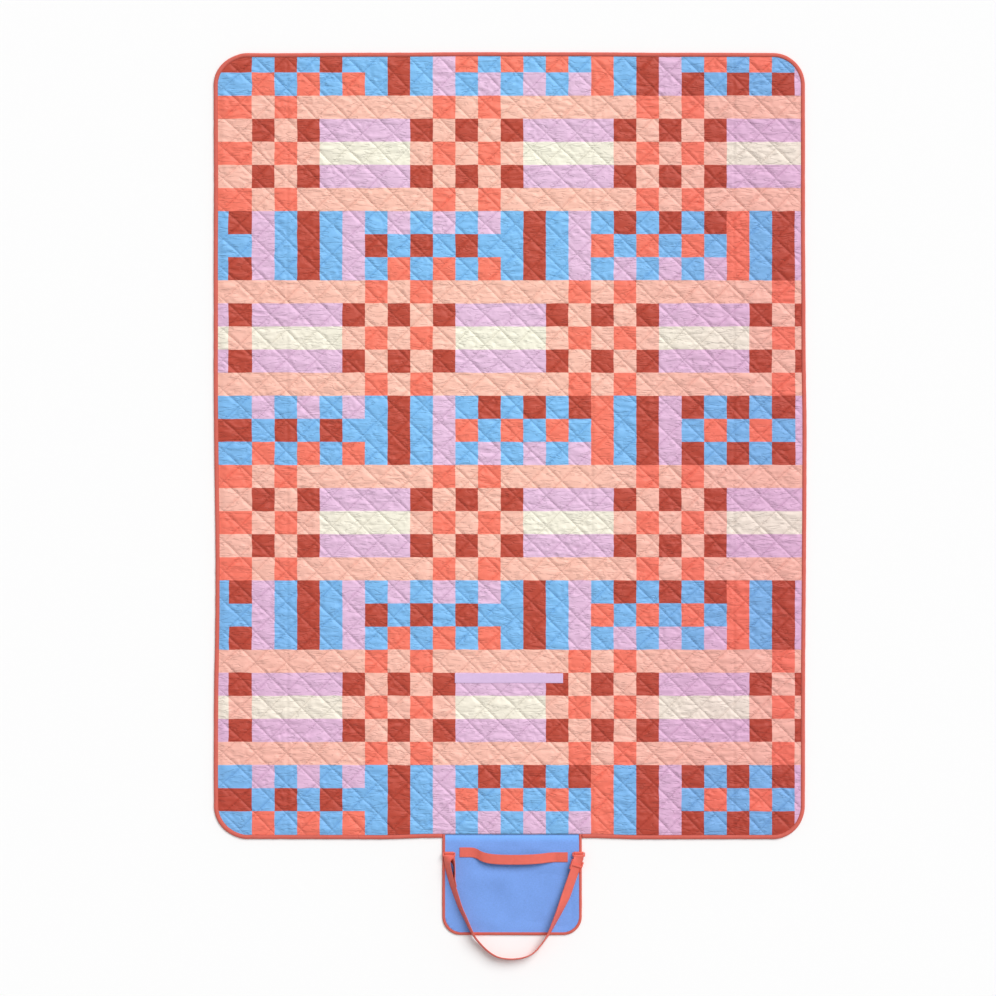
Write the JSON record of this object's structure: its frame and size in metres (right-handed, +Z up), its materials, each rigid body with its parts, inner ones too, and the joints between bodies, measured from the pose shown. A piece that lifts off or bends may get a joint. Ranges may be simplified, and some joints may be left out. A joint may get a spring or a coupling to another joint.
{
  "type": "camp blanket",
  "caption": "Quilted picnic blanket that folds in five panels, with a sewn carrying flap, webbing handle, shoulder strap and hook-and-loop closure.",
  "frame": {"origin": "centre of the blanket's underside, on the surface it lies on", "axes": "+Z up through the printed side, +Y along the blanket's length away from the carrying flap, +X to the right seen from above with the flap towards the viewer"},
  "size_m": [1.5, 2.3128, 0.0294],
  "materials": {
    "printed_cotton": "block-printed plain-weave cotton, matte",
    "wadding": "polyester wadding",
    "backing_cloth": "coated woven backing, slight sheen",
    "edge_binding": "folded twill tape",
    "flap_canvas": "canvas",
    "stiffener": "pressed felt",
    "webbing": "woven webbing",
    "loop_tape": "brushed loop pile",
    "hook_tape": "hook tape",
    "moulded_plastic": "moulded acetal"
  },
  "bodies": {
    "left_outer_panel": {"top_sheet_left_outer": "printed_cotton", "wadding_left_outer": "wadding", "backing_left_outer": "backing_cloth", "binding_left_outer": "edge_binding"},
    "left_inner_panel": {"top_sheet_left_inner": "printed_cotton", "wadding_left_inner": "wadding", "backing_left_inner": "backing_cloth", "binding_left_inner": "edge_binding"},
    "centre_panel": {"top_sheet_centre": "printed_cotton", "wadding_centre": "wadding", "backing_centre": "backing_cloth", "binding_centre": "edge_binding", "seam_facing": "flap_canvas", "loop_tape": "loop_tape"},
    "right_inner_panel": {"top_sheet_right_inner": "printed_cotton", "wadding_right_inner": "wadding", "backing_right_inner": "backing_cloth", "binding_right_inner": "edge_binding"},
    "right_outer_panel": {"top_sheet_right_outer": "printed_cotton", "wadding_right_outer": "wadding", "backing_right_outer": "backing_cloth", "binding_right_outer": "edge_binding"},
    "flap": {"flap_canvas": "flap_canvas", "flap_lining": "flap_canvas", "flap_stiffener": "stiffener", "flap_binding": "edge_binding", "hook_tape": "hook_tape", "handle_end_left": "webbing", "handle_end_right": "webbing", "ring_tab_left": "webbing", "ring_tab_right": "webbing"},
    "handle": {"carry_handle": "webbing"},
    "strap": {"shoulder_strap": "webbing", "ring_left": "moulded_plastic", "ring_right": "moulded_plastic"},
    "slider": {"strap_slider": "moulded_plastic"}
  },
  "joints": [
    {"name": "left_inner_fold", "type": "hinge", "parent": "centre_panel", "child": "left_inner_panel", "pos_m": [-0.207, 0, 0.01005], "axis": [0, -1, 0], "range_deg": [-180, 0]},
    {"name": "left_outer_fold", "type": "hinge", "parent": "left_inner_panel", "child": "left_outer_panel", "pos_m": [-0.57, 0, 0.00625], "axis": [0, -1, 0], "range_deg": [-180, 0]},
    {"name": "right_inner_fold", "type": "hinge", "parent": "centre_panel", "child": "right_inner_panel", "pos_m": [0.207, 0, 0.01655], "axis": [0, 1, 0], "range_deg": [-180, 0]},
    {"name": "right_outer_fold", "type": "hinge", "parent": "right_inner_panel", "child": "right_outer_panel", "pos_m": [0.57, 0, 0.00625], "axis": [0, 1, 0], "range_deg": [-180, 0]},
    {"name": "flap_fold", "type": "hinge", "parent": "centre_panel", "child": "flap", "pos_m": [0.004, -1.0003, 0.0065], "axis": [-1, 0, 0], "range_deg": [0, 140]},
    {"name": "handle_swing", "type": "hinge", "parent": "flap", "child": "handle", "pos_m": [0.008, -1.0333, 0.0046], "axis": [0.9983, -0.0578, 0], "range_deg": [-75, 0]},
    {"name": "strap_swing", "type": "hinge", "parent": "flap", "child": "strap", "pos_m": [0.0085, -1.04, 0.00705], "axis": [1, 0, 0], "range_deg": [-110, 0]},
    {"name": "slider_slide", "type": "slide", "parent": "strap", "child": "slider", "axis": [-0.3289, -0.9444, 0], "range_m": [0, 0.045]}
  ]
}
